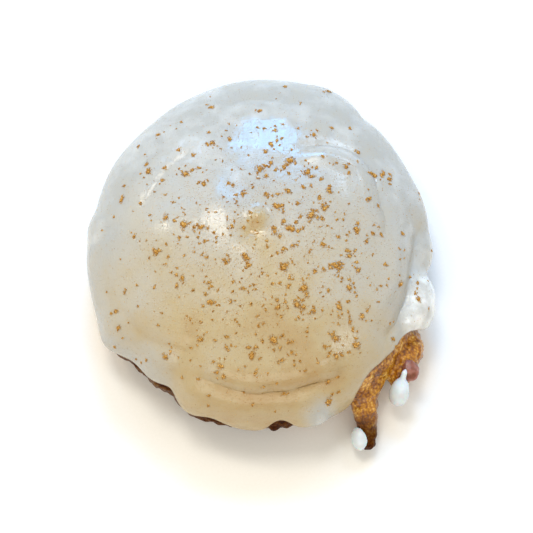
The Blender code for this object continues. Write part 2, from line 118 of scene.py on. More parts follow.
# %% [markdown]
# ## The form of the dough
#
# A fritter is shaped by hand, then swells in hot fat until its skin sets. Seen from above it is a rough
# oval, and in section a squared oval that is widest low down, at its waist. Bumps in the outline come from
# a short list of directions, as a baker would describe them. Sculpting such a round by hand would work too,
# but a formula gives the same form to the dough and to the icing on it, so the coat always fits.

# %% Sizes of the round of dough
HALF_WIDTH, HALF_DEPTH = 50.9, 53.6  # millimetres, as are all the sizes of the form below
DOUGH_HEIGHT, WAIST_HEIGHT = 34.5, 14.0
FLAT_SINK = 5.0
DOME_SQUARENESS, FOOT_SQUARENESS = 2.3, 2.2
OUTLINE_BUMPS = (
    (-18, 5, 0.6), (-10, 5, -1.1), (5, 7, -0.5), (33, 19, -1.6), (52, 4, -0.9), (66, 9, 1.7), (128, 24, -1.9),
    (167, 12, -1.5), (214, 6, 1.2), (225, 8, -1.9), (240, 5, -2.4), (249, 5, 0.8), (263, 7, 0.3),
    (283, 5, 0.2), (290, 8, 0.8),
)  # direction and half width in degrees, height
FOOT_SPREADS = ((-46, 16, 3.6), (215, 9, 1.8), (236, 26, 1.8), (277, 8, 2.6))
FOOT_TOP, FOOT_DEPTH = 18.0, 10.0
BUMP_FADE = 3  # the higher, the sooner a bump of the outline dies away towards the top


def sum_of_bumps(angles, bumps):
    """The bumps' heights added up in each direction, given in radians."""
    total = np.zeros_like(angles)
    for at, half_width, height in bumps:
        off = (np.degrees(angles) - at + 180) % 360 - 180
        total += height * np.exp(-((off / half_width) ** 2))
    return total


def plan_ellipse(angles):
    """The dough's reach at its waist, without its bumps."""
    return 1 / np.hypot(np.cos(angles) / HALF_WIDTH, np.sin(angles) / HALF_DEPTH)


def smooth_step(x):
    x = np.clip(x, 0, 1)
    return x * x * (3 - 2 * x)


turn = np.radians(np.arange(0, 360, 45))
print("bumps of the outline every 45 degrees, mm:", np.round(sum_of_bumps(turn, OUTLINE_BUMPS), 1))


# %% Points on the dough's skin
def form_points(angles, profiles):
    """Points of the smooth dough in directions of the plan and at angles down its profile, in millimetres."""
    across = np.cos(profiles)
    up = np.sin(profiles)
    top = up >= 0
    power = np.where(top, 2 / DOME_SQUARENESS, 2 / FOOT_SQUARENESS)
    rise = np.where(top, DOUGH_HEIGHT - WAIST_HEIGHT, -(WAIST_HEIGHT + FLAT_SINK))
    inward = np.clip(across, 0, 1) ** power
    bumps = sum_of_bumps(angles, OUTLINE_BUMPS) * inward ** BUMP_FADE
    radius = plan_ellipse(angles) * inward + bumps
    height = WAIST_HEIGHT + rise * np.abs(up) ** power
    spread = sum_of_bumps(angles, FOOT_SPREADS)
    radius += spread * smooth_step((FOOT_TOP - height) / FOOT_DEPTH)
    return np.stack([radius * np.cos(angles), radius * np.sin(angles), np.maximum(height, 0)], axis=1)


PROFILE_STEPS = 721
skin_angles = np.linspace(math.pi / 2, -math.pi / 2, PROFILE_STEPS)
skin_points = form_points(np.zeros(PROFILE_STEPS), skin_angles)
skin_lengths = np.concatenate(([0], np.cumsum(np.linalg.norm(np.diff(skin_points, axis=0), axis=1))))
print("skin from the top down to the waist:", round(float(np.interp(0, -skin_angles, skin_lengths)), 1), "mm")

# %% [markdown]
# ## The relief of the top
#
# The dough was folded before it was fried, and each fold left a rounded lip with a crease beside it. The
# icing flows over the folds and softens them, but they still steer the light. A fold is described by a few
# points of the line it follows, with the upper layer on the left. That layer rolls over steeply into the
# crease, and the lower one climbs out of it gently, as where one sheet of dough lies on another. This could
# be a displacement texture, but real vertices also bend the outline and catch reflections correctly, so the
# relief is in the mesh.

# %% Folds and swellings
FOLDS = (  # points of its line, lip height, crease depth, width, sharpness
    (((-21.5, -41.5), (-13, -45), (-6.5, -47.5), (1, -48), (12, -46), (20, -44), (27.5, -40)),
     1.0, 1.15, 2.4, 0.85),
    (((47, 10), (48, 1), (47, -7.5), (45, -17), (42, -25), (37.5, -31.5), (33, -37)), 1.3, 3.5, 3.0, 1.25),
    (((35.5, -7), (36.5, 2), (34, 9), (33, 17), (29.5, 22), (22, 25.5), (17, 25), (9, 23)),
     1.1, 0.6, 2.0, 1.0),
    (((15, 38), (8.5, 41), (0.5, 42.5), (-7, 41.5), (-13, 38)), 0.3, 0.6, 3.2, 1.0),
    (((-34, 4), (-32, 10.5), (-28, 17), (-22, 22.5), (-16, 26)), 0.4, 0.3, 2.6, 0.7),
    (((-39.5, -21), (-38, -26), (-33, -31), (-25, -35.5), (-15, -37.5)), 0.3, 0.4, 2.6, 0.8),
)
CORNER_CUT = 0.25  # share of a step that is cut off at each corner of a line
LIP_OFFSET, LIP_WIDTH = 1.7, 1.3  # where a lip stands beside its line and how wide it is, in fold widths
WOBBLE = (0.5, 6.0)  # no fold follows its line exactly: size and length of its wanderings
SWELLINGS = (  # x, y, radius, height
    (-13.0, 3.0, 10.0, 1.0), (-0.2, 1.2, 2.3, 1.3), (-2.6, -2.8, 3.4, -0.7), (-28.0, -2.0, 7.0, 0.7),
    (26.0, 12.0, 10.0, 0.6), (-47.5, 4.5, 3.6, 1.0), (14.0, -28.0, 12.0, 0.6),
)
UNEVENNESS = (0.35, 21.0)  # height and length of the slow waves all over the top
RELIEF_FOOT, RELIEF_HEAD = 8.0, 14.0  # heights between which the relief fades in
FOLD_FADE = 0.22  # share of its length over which a fold dies away at each end
ROLL_STEEPNESS = 0.65  # how much narrower the crease is on the side of the upper layer


def noise_at(points, size, shift=(0.0, 0.0, 0.0)):
    """Smooth noise of that size in millimetres, between about -1 and 1."""
    moved = points / size + np.array(shift)
    return np.array([noise.noise(Vector(p)) for p in moved])


def waves_of(points, height_and_length, shift=(0.0, 0.0, 0.0)):
    """Smooth noise of that height and length in millimetres."""
    height, length = height_and_length
    return height * noise_at(points, length, shift)


def rounded(line):
    """The line with its corners cut twice, and its ends kept."""
    line = np.array(line)
    for _ in range(2):
        near = (1 - CORNER_CUT) * line[:-1] + CORNER_CUT * line[1:]
        far = CORNER_CUT * line[:-1] + (1 - CORNER_CUT) * line[1:]
        cut = np.stack([near, far], axis=1).reshape(-1, 2)
        line = np.concatenate([line[:1], cut, line[-1:]])
    return line


def off_line(points, line):
    """How far each point is off the line, negative on its left, and its place along it from 0 to 1."""
    best, along = np.full(len(points), np.inf), np.zeros(len(points))
    run = 0.0
    for start, end in zip(line, line[1:]):
        step, rest = end - start, points[:, :2] - start
        length = np.hypot(*step)
        share = np.clip(rest @ step / length**2, 0, 1)
        away = np.linalg.norm(rest - share[:, None] * step, axis=1)
        side = np.where(step[0] * rest[:, 1] - step[1] * rest[:, 0] > 0, -1, 1)
        nearer = away < np.abs(best)
        best = np.where(nearer, side * away, best)
        along = np.where(nearer, run + share * length, along)
        run += length
    return best, along / run


def fold_heights(points, fold):
    """A rounded lip on the left of the line and a crease along it, fading at both ends."""
    line, lip, crease, width, sharpness = fold
    off, along = off_line(points, rounded(line))
    fade = smooth_step(np.minimum(along, 1 - along) / FOLD_FADE)
    off = (off + waves_of(points, WOBBLE, (0, 4, 9))) / width
    groove = -crease * np.exp(-((off / (sharpness * np.where(off < 0, ROLL_STEEPNESS, 1.0))) ** 2))
    return fade * (groove + lip * np.exp(-(((off + LIP_OFFSET) / LIP_WIDTH) ** 2)))


def swelling_heights(points):
    total = np.zeros(len(points))
    for x, y, radius, height in SWELLINGS:
        total += height * np.exp(-(((points[:, 0] - x) ** 2 + (points[:, 1] - y) ** 2) / radius**2))
    return total


def top_relief(points):
    fade = smooth_step((points[:, 2] - RELIEF_FOOT) / (RELIEF_HEAD - RELIEF_FOOT))
    folds = sum(fold_heights(points, fold) for fold in FOLDS)
    return fade * (waves_of(points, UNEVENNESS) + swelling_heights(points) + folds)


print(len(FOLDS), "folds and", len(SWELLINGS), "swellings shape the top")

# %% [markdown]
# ## The icing
#
# Sugar icing is poured on thick and warm. It runs down over the sides, leaves a rounded bead where it
# stopped, and sets with a skin. A fold or an arm of dough holds it back in some places, so its edge is a
# wavy line. The coat is a closed shell: an inner skin just clear of the dough, an outer skin one coat's
# thickness further out, and a rim that joins them at the edge. Blender's Solidify modifier does the same
# with an even thickness, but here the thickness changes from the bead to the pools, so both skins are made
# directly from one grid of points.

# %% Where the icing ends and how thick it is
ICING_THICKNESS, ICING_EDGE, BEAD_WIDTH, GAP = 1.7, 0.5, 3.2, 0.3
THICKNESS_WAVES = (0.15, 12.0)  # height and length
EDGE_ANGLE = -22.0  # the profile angle at which the icing ends on average, in degrees
EDGE_LIFTS = (  # direction, half width, rise, all in degrees
    (-45, 15, 31.0), (-57, 8, 11.0), (-31, 7, 14.0), (228, 26, 23.0), (256, 10, 20.0), (276, 7, 26.0),
    (70, 20, -6.0), (150, 9, 7.0),
)
EDGE_WAVES = ((5, 0.4, 3.0), (9, 1.9, 2.4), (16, 4.0, 1.6))  # how many round the edge, phase, size
POOLS = ((47.5, -22.0, 14.0, 7.0, 2.6), (16.8, -54.0, 15.0, 3.4, 2.0))  # x, y, z, radius, extra thickness


def edge_angle(angles):
    """The profile angle at which the icing ends, in radians: 0 is the waist, below it is negative."""
    waves = sum(size * np.sin(count * angles + phase) for count, phase, size in EDGE_WAVES)
    return np.radians(EDGE_ANGLE + waves + sum_of_bumps(angles, EDGE_LIFTS))


def icing_thickness(points, from_edge):
    thickness = ICING_THICKNESS + waves_of(points, THICKNESS_WAVES, (7, 0, 0))
    for x, y, z, radius, extra in POOLS:
        off = np.linalg.norm(points - np.array((x, y, z)), axis=1) / radius
        thickness += extra * np.exp(-off * off)
    inward = np.clip(from_edge / BEAD_WIDTH, 0, 1)
    return ICING_EDGE + (thickness - ICING_EDGE) * np.sqrt(1 - (1 - inward) ** 2)


edge_degrees = np.degrees(edge_angle(np.radians(np.arange(360)))).round()
print("icing ends between", edge_degrees.min(), "and", edge_degrees.max(), "degrees of the profile")


# %% A grid bent over the dough
ICING_STEPS = 200
CROWDING = 1.25  # above 1, the grid's lines crowd towards the icing's edge


def disc_grid(steps):
    """A square grid mapped to a disc: each vertex's reach from 0 to 1 and direction, and the faces."""
    line = np.linspace(-1, 1, steps + 1)
    x, y = [side.ravel() for side in np.meshgrid(line, line)]
    wide = np.abs(x) > np.abs(y)
    safe_x, safe_y = np.where(x == 0, 1, x), np.where(y == 0, 1, y)
    reach = np.where(wide, x, y)
    angle = np.where(wide, math.pi / 4 * y / safe_x, math.pi / 2 - math.pi / 4 * x / safe_y)
    angle = np.where(reach < 0, angle + math.pi, angle)
    corner = (np.arange(steps)[:, None] * (steps + 1) + np.arange(steps)).ravel()
    faces = np.stack([corner, corner + 1, corner + steps + 2, corner + steps + 1], axis=1)
    return np.abs(reach), angle, faces


def mesh_object(name, points, faces):
    """A smooth-shaded mesh from points in millimetres."""
    mesh = bpy.data.meshes.new(name)
    mesh.from_pydata((points * MM).tolist(), [], faces.tolist())
    mesh.update()
    mesh.shade_smooth()
    made = bpy.data.objects.new(name, mesh)
    bpy.context.scene.collection.objects.link(made)
    return made


def normals_of(points, faces):
    scratch = mesh_object("scratch", points, faces)
    normals = np.empty(len(points) * 3, np.float32)
    scratch.data.vertex_normals.foreach_get("vector", normals)
    bpy.data.objects.remove(scratch, do_unlink=True)
    return normals.reshape(-1, 3).astype(float)


def dough_cap(steps):
    """The dough's skin under the icing, with its relief, and the skin left from each point to the edge."""
    reach, angle, faces = disc_grid(steps)
    whole = np.interp(-edge_angle(angle), -skin_angles, skin_lengths)
    left = whole * (1 - reach) ** CROWDING
    points = form_points(angle, np.interp(whole - left, skin_lengths, skin_angles))
    points = points + normals_of(points, faces) * top_relief(points)[:, None]
    return points, faces, left


cap_points, cap_faces, cap_left = dough_cap(ICING_STEPS)
print("cap of", len(cap_points), "points, top at", round(float(cap_points[:, 2].max()), 1), "mm")

# %% [markdown]
# The outer skin gets what only the icing has: slow ripples from the pour, and shallow dimples where bubbles
# rose. They are a tenth of a millimetre high, far too little to see as shape, but they break up every
# reflection, and that is what makes a glossy surface read as set sugar and not as plastic.


# %% The shell of icing
POUR_RIPPLES, BUBBLE_DIMPLES = (0.12, 8.0), (0.04, 3.0)  # height and length
CALM_EDGE = 4.0  # the bead along the edge has no ripples up to this far in
BOX_MARGIN = 0.3  # the coat starts to ease off this far inside the solid's box


def rim_of(steps):
    """The grid's border vertices in order round the disc."""
    side = steps + 1
    bottom = list(range(0, steps))
    right = [steps + row * side for row in range(0, steps)]
    top = [steps * side + column for column in range(steps, 0, -1)]
    left = [row * side for row in range(steps, 0, -1)]
    return bottom + right + top + left


def eased_inside(points, low, high):
    """The points, with those near a side of the box eased back, so that none reaches past it."""
    give = BOX_MARGIN
    over = np.maximum(points - (high - give), 0)
    under = np.maximum((low + give) - points, 0)
    return points - over + give * (1 - np.exp(-over / give)) + under - give * (1 - np.exp(-under / give))


def icing_shell():
    normals = normals_of(cap_points, cap_faces)
    inner = cap_points + normals * GAP
    thickness = icing_thickness(cap_points, cap_left)
    calm = smooth_step(cap_left / CALM_EDGE)
    ripples = waves_of(cap_points, POUR_RIPPLES, (3, 1, 0)) + waves_of(cap_points, BUBBLE_DIMPLES, (0, 5, 2))
    outer = cap_points + normals * (GAP + thickness + calm * ripples)[:, None]
    low, high = (np.array(corner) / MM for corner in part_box("icing"))
    outer = eased_inside(outer, low, high)
    count = len(cap_points)
    rim = rim_of(ICING_STEPS)
    ring = np.array([[a, b, b + count, a + count] for a, b in zip(rim, rim[1:] + rim[:1])])
    faces = np.concatenate([cap_faces[:, ::-1], cap_faces + count, ring])
    return np.concatenate([inner, outer]), faces


icing = mesh_object("icing_coat", *icing_shell())
print("icing coat:", len(icing.data.polygons), "faces")

# %% [markdown]
# Where the coat is thin, the brown dough shows through it as a warm tan. That happens in the creases and on
# a few knobs, and more and more towards the near side, where the icing slid down and left a thin film. The
# same number carries painted light too: painted shade in the creases, in the hollow below the middle knob
# and over the warmer, darker near side, and painted highlights as whiter spots on the lip, the bead and
# the left edge. Each vertex gets one number for all this, stored as an attribute that the material reads.
# Painting it by hand in vertex paint would do the same, but numbers in a short list are easier to change.

# %% Show through where the coat is thin, with painted shade and highlights
# The tan in the hollow below the middle knob is partly the thin coat and partly painted shade.
THIN_AND_SHADED_SPOTS = (  # x, y, radius, how much dough shows
    (-0.4, 0.8, 2.0, 0.3), (-2.4, -3.2, 3.6, 0.36), (1.0, -8.0, 4.5, 0.12), (-34.0, -27.0, 5.0, 0.08),
    (-24.0, -32.0, 7.0, 0.06), (30.0, -24.0, 2.4, 0.1), (6.0, -29.0, 9.0, 0.12), (8.0, -48.0, 14.0, 0.06),
    (24.0, -42.0, 10.0, 0.06), (-30.0, -8.0, 8.0, 0.1), (13.0, -8.0, 12.0, 0.06), (-40.0, -16.0, 7.0, 0.1),
    (-14.0, -50.0, 12.0, 0.03),
)
# Painted highlights: these spots whiten the lip, the bead at the near side and the left edge, partly for the
# thicker icing there.
THICK_AND_HIGHLIGHT_SPOTS = (  # x, y, radius, how much less dough shows
    (-31.0, -40.0, 8.0, 0.24), (49.5, -18.0, 7.0, 0.4), (45.0, -26.0, 6.0, 0.35), (48.0, -2.0, 9.0, 0.12),
    (17.5, -53.0, 4.5, 0.6), (-48.0, 2.0, 5.0, 0.15), (25.0, 24.0, 5.0, 0.08), (26.0, -20.0, 14.0, 0.1),
)


def spots(points, listed):
    total = np.zeros(len(points))
    for x, y, radius, amount in listed:
        total += amount * np.exp(-((points[:, 0] - x) ** 2 + (points[:, 1] - y) ** 2) / radius**2)
    return total


ORDINARY_COAT = 0.12  # below this the coat is so thick that it is opaque white
# Painted shade: besides the thin coat, the film makes the near side warmer and darker, as the light falls
# there.
FILM_AND_PAINTED_SHADE, FILM_START, FILM_RUN = 0.42, 27.0, 68.0  # how much dough the film shows, from which y, over what length
FLANK_START, FLANK_RUN, FLANK_LOSS = 20.0, 30.0, 0.7  # the film is fainter far out to the left and right
FILM_WAVES = (0.09, 11.0)  # how much dough shows, and the length of the waves
# Painted shade: the creases get a darker tan, partly for the thin coat in them, partly for the shade that
# falls there.
CREASE_PAINTED_SHADE, DEEPEST_CREASE = 0.05, 1.2


def thinness_and_painted_light(points):
    """0 where the coat is thick and opaque white or a highlight is painted, 1 where the dough's brown shows
    through it or shade is painted.
    """
    x, y = points[:, 0], points[:, 1]
    flanks = 1 - FLANK_LOSS * smooth_step((np.abs(x) - FLANK_START) / FLANK_RUN)
    film_and_painted_shade = FILM_AND_PAINTED_SHADE * smooth_step((FILM_START - y) / FILM_RUN) * flanks
    crease_shade = sum(np.clip(fold_heights(points, fold), -DEEPEST_CREASE, 0) for fold in FOLDS)
    clear = spots(points, THIN_AND_SHADED_SPOTS) - spots(points, THICK_AND_HIGHLIGHT_SPOTS)
    return ORDINARY_COAT + film_and_painted_shade + waves_of(points, FILM_WAVES) + clear - CREASE_PAINTED_SHADE * crease_shade


def set_attribute(made, name, values):
    layer = made.data.attributes.new(name, "FLOAT", "POINT")
    layer.data.foreach_set("value", np.clip(values, 0, 1).astype(np.float32))


thin_and_painted_light = thinness_and_painted_light(cap_points)
set_attribute(icing, "thinness_and_painted_light", np.concatenate([thin_and_painted_light, thin_and_painted_light]))
print("thinness between", round(float(thin_and_painted_light.min()), 2), "and", round(float(thin_and_painted_light.max()), 2))

# %% [markdown]
# ## The crust
#
# Where no icing reached, the dough shows its knobbly, blistered, golden fried skin, with painted shade in its
# valleys.
# The solid model has its large crags. Here the same solid is remeshed into small even cells and given finer
# knobs. The crags fade out where the icing lies on the dough, so that none of them pokes through the coat.
# At the near left the bare rim swelled out under the coat, in the shade of the icing's bead; that shade is
# painted into it, darkest of all.
# Sculpting the crust by hand would look just as good, but it could not follow a change of the solid.


# %% Remesh a solid into small even cells
def remeshed(node_name, name, cell, smoothing):
    """A copy of one of the frame's solids with even faces of that size in millimetres."""
    made = bpy.data.objects.new(name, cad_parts[node_name].data.copy())
    made.data.materials.clear()
    bpy.context.scene.collection.objects.link(made)
    remesh = made.modifiers.new("remesh", "REMESH")
    remesh.mode = "VOXEL"
    remesh.voxel_size = cell * MM
    remesh.use_smooth_shade = True
    relax = made.modifiers.new("relax", "SMOOTH")
    relax.iterations = smoothing
    graph = bpy.context.evaluated_depsgraph_get()
    mesh = bpy.data.meshes.new_from_object(made.evaluated_get(graph))
    made.modifiers.clear()
    made.data = mesh
    mesh.shade_smooth()
    return made


def points_of(made):
    flat = np.empty(len(made.data.vertices) * 3)
    made.data.vertices.foreach_get("co", flat)
    return flat.reshape(-1, 3) / MM


def vertex_normals(made):
    flat = np.empty(len(made.data.vertices) * 3, np.float32)
    made.data.vertex_normals.foreach_get("vector", flat)
    return flat.reshape(-1, 3).astype(float)


def move_points(made, points):
    made.data.vertices.foreach_set("co", (points * MM).ravel())
    made.data.update()


crust = remeshed("dough", "fried_crust", 0.55, 3)
print("crust:", len(crust.data.polygons), "faces")


# %% Give the bare crust its knobs
def tree_of(made):
    """A search tree of the object's faces, for finding places on them."""
    bm = bmesh.new()
    bm.from_mesh(made.data)
    tree = BVHTree.FromBMesh(bm)
    bm.free()
    return tree


def distance_to(made, points):
    """How far each point is from the mesh, in millimetres."""
    tree = tree_of(made)
    return np.array([tree.find_nearest(Vector(p) * MM)[3] for p in points]) / MM


RIM_PUFFS = ((220, 8, 0.3), (238, 16, 0.5), (262, 12, 1.4))  # direction, half width, swelling of the rim
PUFF_START, PUFF_RUN, PUFF_FADE = 0.2, 1.2, 5.0  # off the icing, over what length, and below the foot's top
BARE_START, BARE_RUN = 0.6, 2.0  # off the icing, and over what length
FLAT_EDGE = 2.0  # below this height the crust flattens towards the table
KNOB_HEIGHT, KNOB_SIZE, GRIT = 0.5, 3.2, (0.3, 1.3)

crust_points = points_of(crust)
from_icing = distance_to(icing, crust_points)
bare = smooth_step((from_icing - BARE_START) / BARE_RUN)
low = smooth_step(crust_points[:, 2] / FLAT_EDGE)
knobs = KNOB_HEIGHT * (np.abs(noise_at(crust_points, KNOB_SIZE, (2, 0, 1))) * 2 - 0.5)
grit = waves_of(crust_points, GRIT, (0, 9, 4))
around = np.arctan2(crust_points[:, 1], crust_points[:, 0])
puff = sum_of_bumps(around, RIM_PUFFS) * smooth_step((from_icing - PUFF_START) / PUFF_RUN)
puff *= smooth_step((FOOT_TOP - crust_points[:, 2]) / PUFF_FADE)
crust_points += vertex_normals(crust) * (((knobs + grit) * bare + puff) * low)[:, None]
move_points(crust, crust_points)
print("share of the crust that is bare:", round(float((bare > 0.5).mean()), 2))


# %% Darken the crust: painted shade along the icing and on the rim, and a darker tip
# Painted shadow: the crust is darkened along the icing's edge, where the coat shades it.
EDGE_SHADOW_START, EDGE_SHADOW_RUN = 0.4, 2.2  # the dark seam along the icing: its width, and over what length it fades
TIP_START, TIP_RUN = -48.0, 9.0  # the thin tendril is dark from this y on
# Painted shade: the swollen rim under the icing's bead is darkened as well.
RIM_SHADE, FULL_PUFF = 0.9, 0.4

edge_shadow = 1 - smooth_step((from_icing - EDGE_SHADOW_START) / EDGE_SHADOW_RUN)
tip = smooth_step((TIP_START - crust_points[:, 1]) / TIP_RUN)
painted_shade_and_dark_tip = edge_shadow + tip + RIM_SHADE * smooth_step(puff / FULL_PUFF)
set_attribute(crust, "painted_shade_and_dark_tip", painted_shade_and_dark_tip)
print("share of the crust that is dark:", round(float((painted_shade_and_dark_tip > 0.5).mean()), 2))

# %% [markdown]
# ## The fruit chunk and the two drips
#
# A chunk of cooked fruit pokes out of the arm, and a drip of thick icing runs off it into a drop. A second
# drip has set on the tendril. Their solids already have the right outline, so each is remeshed finely and
# relaxed until its facets are gone. The fruit also gets shallow dents, because cooked fruit slumps.

# %% Refine the small pieces
FRUIT_DENTS = (0.3, 2.2)  # depth and length
chunk = remeshed("fruit_chunk", "cooked_fruit", 0.22, 8)
chunk_points = points_of(chunk)
move_points(chunk, chunk_points + vertex_normals(chunk) * waves_of(chunk_points, FRUIT_DENTS)[:, None])
drip = remeshed("icing_drip", "hanging_drip", 0.2, 10)
tendril_drip = remeshed("tendril_drip", "set_drip", 0.2, 10)
print("chunk and drips:", [len(o.data.polygons) for o in (chunk, drip, tendril_drip)], "faces")

# %% [markdown]
# ## The cinnamon
#
# Ground cinnamon is shaken over the wet icing. It falls as dust and as small damp clumps, and the clumps are
# what the eye sees: heaps of grains, one to three millimetres across. Each shake of the hand leaves a
# pinch, and each pinch is a centre, a spread and a number of clumps. The few main ones are listed one by one.
# The lesser ones fall by a seeded draw that keeps them apart, so they lie the same way every time. Blender
# could scatter instances with geometry nodes, but real meshes keep every grain when the model is exported.

# %% Where the pinches fell
PINCHES = (  # the main ones: x, y, radius of the largest clump
    (0, 17, 1.4), (9, 20, 1.4), (14, 16, 1.2), (34, 17, 1.1), (5, 5, 1.1), (15, 2, 1.3), (9, -2, 1.3),
    (-4, -11, 1.2), (7, -14, 1.3), (22, -13, 1.2), (13, -20, 1.3), (11, -25, 1.3), (23, -25, 1.1),
    (22, -34, 1.2), (28, -35, 1.3), (4, -35, 1.4), (-2, -39, 1.2), (-11, -42, 1.1), (20, -50, 1.3),
    (-14, -24, 1.1), (-22, -1, 1.4), (-22, 16, 1.1), (-33, 18, 1.1), (-14, 26, 1.0),
)
LESSER_PINCHES, LESSER_SIZES, LESSER_SPACING = 60, (1.05, 0.66), 4.5  # sizes of the first and the last
CINNAMON_SEED = 11
CLUMPS_AROUND, PINCH_SPREAD, LARGEST_AROUND = 2.6, 1.7, 0.8  # for a pinch with a largest clump of 1 mm
SPRINKLING = (2.0, -7.0, 24.0, 400)  # loose clumps: x, y, spread, how many
SMALLEST_CLUMP, LARGEST_LOOSE_CLUMP = 0.24, 0.78
CLUMP_RARITY, CLUMP_REACH = 1.5, 56.0  # the higher the rarity, the fewer clumps are large


def all_pinches(draw):
    """The main pinches, then the lesser ones, ever smaller and evenly spread."""
    x, y, spread, _ = SPRINKLING
    first, last = LESSER_SIZES
    pinches = list(PINCHES)
    while len(pinches) < len(PINCHES) + LESSER_PINCHES:
        place = (draw.gauss(x, spread), draw.gauss(y, spread))
        if all(math.dist(place, other[:2]) > LESSER_SPACING for other in pinches):
            share = (len(pinches) - len(PINCHES)) / LESSER_PINCHES
            pinches.append((*place, first + (last - first) * share))
    return pinches


def cinnamon_clumps():
    """Every clump as (x, y, radius, turn), largest first, by the same draw as the solid model's."""
    draw = random.Random(CINNAMON_SEED)
    clumps = []

    def drop(x, y, spread, largest):
        size = SMALLEST_CLUMP + (largest - SMALLEST_CLUMP) * draw.random() ** CLUMP_RARITY
        clumps.append((draw.gauss(x, spread), draw.gauss(y, spread), size, draw.uniform(0, math.pi)))

    for x, y, largest in all_pinches(draw):
        clumps.append((x, y, largest, draw.uniform(0, math.pi)))
        for _ in range(round(CLUMPS_AROUND * largest**2)):
            drop(x, y, PINCH_SPREAD * largest, LARGEST_AROUND * largest)
    x, y, spread, count = SPRINKLING
    for _ in range(count):
        drop(x, y, spread, LARGEST_LOOSE_CLUMP)
    clumps = [clump for clump in clumps if math.hypot(clump[0], clump[1]) < CLUMP_REACH]
    return sorted(clumps, key=lambda clump: -clump[2])


# %% More small clumps towards the near side
NEAR_SIDE = (7.0, -28.0, 21.0, 12.0, 120)  # x, y, spread in x and in y, how many
NEAR_SIZES = (0.3, 0.6)  # radii, too small for the solid model


def near_clumps():
    draw = random.Random(CINNAMON_SEED + 2)
    x, y, wide, deep, count = NEAR_SIDE
    return [(draw.gauss(x, wide), draw.gauss(y, deep), draw.uniform(*NEAR_SIZES), draw.uniform(0, math.pi))
            for _ in range(count)]


clumps = cinnamon_clumps() + near_clumps()
print(len(clumps), "clumps, the largest", round(clumps[0][2] * 2, 1), "mm across")

# %% [markdown]
# A clump is not a ball. It is a crumbly, knobbly heap with a ragged edge, so each one is a small dented
# lump with loose grains stuck to it and scattered round its foot. The lump keeps the heap closed, so no
# icing shows between its grains.

# %% Find the icing under a clump
ABOVE_ALL = 100.0
STEEPEST = 0.25  # upward part of the normal: grains slide off a steeper flank


def surface_under(tree, x, y):
    """The place and normal of the icing under a point of the plan, in millimetres."""
    hit, normal, _, _ = tree.ray_cast(Vector((x, y, ABOVE_ALL)) * MM, Vector((0, 0, -1)))
    return (hit / MM, normal) if hit is not None and normal.z > STEEPEST else (None, None)


# %% Heap the grains
HEAP_LENGTH, HEAP_WIDTH = 1.2, 0.8  # a heap is a little oval; in its radii, as are the next ones
LUMPS_OFF, LUMP_RADII, LUMPS_UP, LUMPS_PER_MM = 0.45, (0.32, 0.55), 0.1, 2.5
GRAINS_FROM, GRAINS_RUN, HEAP_HEIGHT = 0.35, 0.75, 0.5
GRAIN_RADII, FEWEST_GRAINS, GRAINS_PER_HEAP = (0.09, 0.2), 3, 26  # the last for a clump of 1 mm radius
GRAIN_LIFT = 0.05
ANY_TURN = (0, 6.28)


def heap_of(clump, tree, draw):
    """The lumps and the grains of one clump, each as its point and radius."""
    x, y, size, about = clump
    middle, normal = surface_under(tree, x, y)
    if middle is None:
        return [], []
    side = normal.cross(Vector((math.cos(about), math.sin(about), 0))).normalized()
    ahead = side.cross(normal)

    def place(away, around, height):
        along, across = HEAP_LENGTH * away * math.cos(around), HEAP_WIDTH * away * math.sin(around)
        flat = side * along + ahead * across
        return middle + flat + normal * height

    lumps, grains = [], []
    for _ in range(1 + round(LUMPS_PER_MM * size)):
        away = LUMPS_OFF * size * draw.random()
        radius = size * draw.uniform(*LUMP_RADII)
        lumps.append((place(away, draw.uniform(*ANY_TURN), LUMPS_UP * size), radius))
    for _ in range(int(FEWEST_GRAINS + GRAINS_PER_HEAP * size * size)):
        away = size * (GRAINS_FROM + GRAINS_RUN * draw.random())
        height = max(0.0, HEAP_HEIGHT * size * (1 - (away / size) ** 2)) + GRAIN_LIFT
        at = place(away, draw.uniform(*ANY_TURN), height * draw.random() ** 0.5)
        grains.append((at, draw.uniform(*GRAIN_RADII)))
    return lumps, grains


# %% Gather all the cinnamon
DUST, DUST_MIDDLE, DUST_RADII = 11000, (3.0, -8.0), (0.06, 0.16)
DUST_SPREADS, NEAR_DUST = (20.0, 30.0), 0.6  # this share of the dust has the narrower spread
BALL_REACH = 1.25  # how far a dented ball may reach, in its radii


def within_box(listed):
    """Without the balls that would reach out of the solids' box."""
    low, high = (np.array(corner) / MM for corner in cad_box)
    kept = []
    for at, radius in listed:
        reach = radius * BALL_REACH
        if (np.array(at) - reach > low).all() and (np.array(at) + reach < high).all():
            kept.append((at, radius))
    return kept


def all_cinnamon():
    tree = tree_of(icing)
    draw = random.Random(CINNAMON_SEED + 1)
    lumps, grains, dust = [], [], []
    for clump in clumps:
        more_lumps, more_grains = heap_of(clump, tree, draw)
        lumps += more_lumps
        grains += more_grains
    x, y = DUST_MIDDLE
    for _ in range(DUST):
        spread = DUST_SPREADS[0 if draw.random() < NEAR_DUST else 1]
        point, _ = surface_under(tree, draw.gauss(x, spread), draw.gauss(y, spread))
        if point is not None:
            dust.append((point, draw.uniform(*DUST_RADII)))
    return [within_box(listed) for listed in (lumps, grains, dust)]


lumps, grains, dust = all_cinnamon()
print(len(lumps), "lumps,", len(grains), "grains and", len(dust), "specks of dust")


